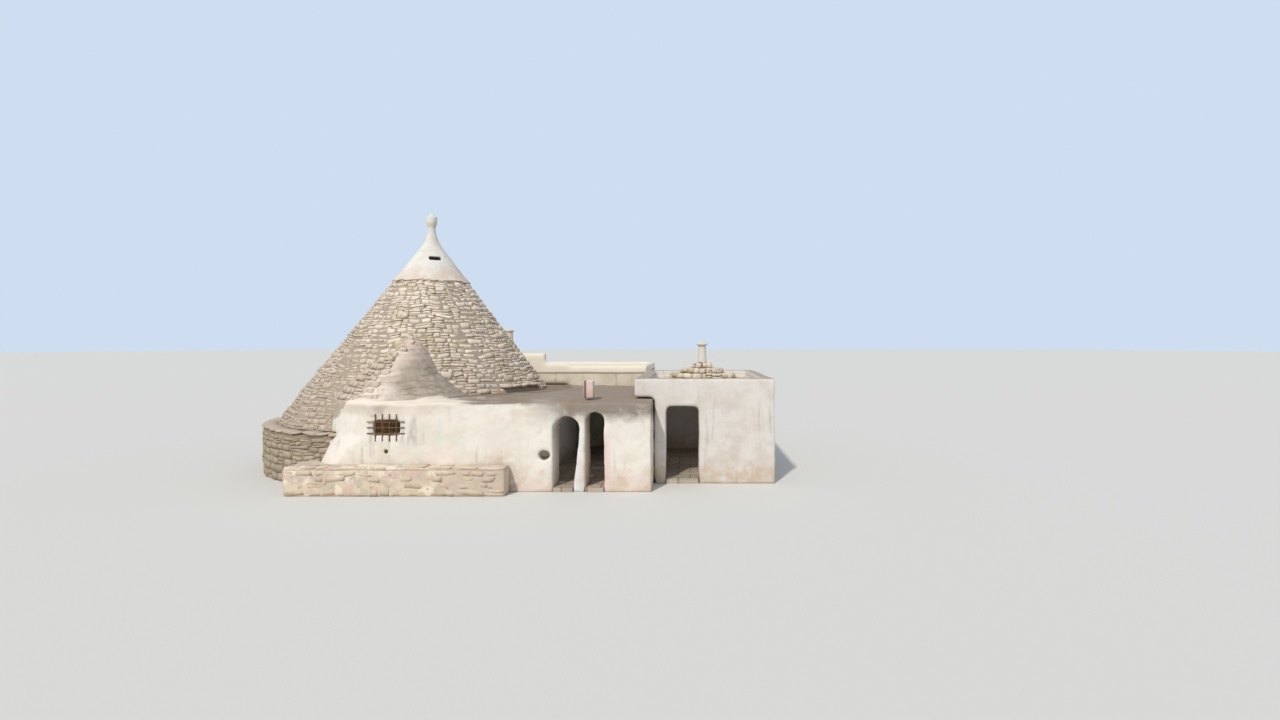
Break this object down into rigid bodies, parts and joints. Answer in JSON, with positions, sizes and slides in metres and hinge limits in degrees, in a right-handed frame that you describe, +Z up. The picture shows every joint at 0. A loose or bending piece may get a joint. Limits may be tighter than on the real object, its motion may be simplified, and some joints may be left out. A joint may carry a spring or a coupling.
{
  "type": "trullo house",
  "caption": "Round dry stone house with a corbelled cone roof, plaster cap and pinnacle, alcove with a barred window, bench, arcaded flat-roofed rooms and small rear cones.",
  "frame": {"origin": "on the axis of the large cone, at ground level, on the underside of the paved floor", "axes": "+Z up, +X to the right along the front with the arcade, -Y out of the front face"},
  "size_m": [14.32, 12.75, 7.3927],
  "materials": {
    "whitewash": "matte",
    "rubble_stone": "matte",
    "roof_stone": "matte",
    "dome_stone": "matte",
    "eave_stone": "matte",
    "weathered_mortar": "matte",
    "bench_plaster": "matte",
    "paving": "matte",
    "roof_screed": "matte",
    "stained_whitewash": "matte",
    "rusty_iron": "matte",
    "chimney_plaster": "matte",
    "coping_plaster": "matte",
    "wall_plaster": "matte"
  },
  "bodies": {
    "root": {"main_floor": "paving", "drum_wall_right_front": "rubble_stone", "drum_doorway": "rubble_stone", "drum_wall_right": "rubble_stone", "drum_wall_rear": "rubble_stone", "drum_wall_left_rear": "rubble_stone", "drum_wall_left_front": "rubble_stone", "eave_slabs": "eave_stone", "lower_courses": "roof_stone", "corbelled_dome": "dome_stone", "corbel_rings": "dome_stone", "upper_courses": "roof_stone", "roof_cap": "whitewash", "pinnacle": "whitewash", "alcove_wall": "whitewash", "alcove_roof": "roof_stone", "window_grille": "rusty_iron", "mortar_slope": "weathered_mortar", "bench": "bench_plaster", "facade_wall": "wall_plaster", "arcade_pier": "wall_plaster", "arcade_end_pier": "wall_plaster", "arcade_arches": "stained_whitewash", "front_side_wall": "wall_plaster", "front_floor": "paving", "front_roof": "roof_screed", "chimney": "chimney_plaster", "rear_front_wall": "wall_plaster", "rear_side_wall": "wall_plaster", "rear_back_wall": "wall_plaster", "rear_left_wall": "wall_plaster", "rear_floor": "paving", "rear_roof": "roof_screed", "rear_parapet": "coping_plaster", "door_lintels": "wall_plaster", "side_front_wall": "wall_plaster", "side_right_wall": "wall_plaster", "side_back_wall": "wall_plaster", "side_floor": "paving", "side_roof": "roof_screed", "side_coping": "coping_plaster", "small_cones": "roof_stone", "small_cone_courses": "roof_stone", "small_pinnacles": "whitewash"}
  },
  "joints": []
}
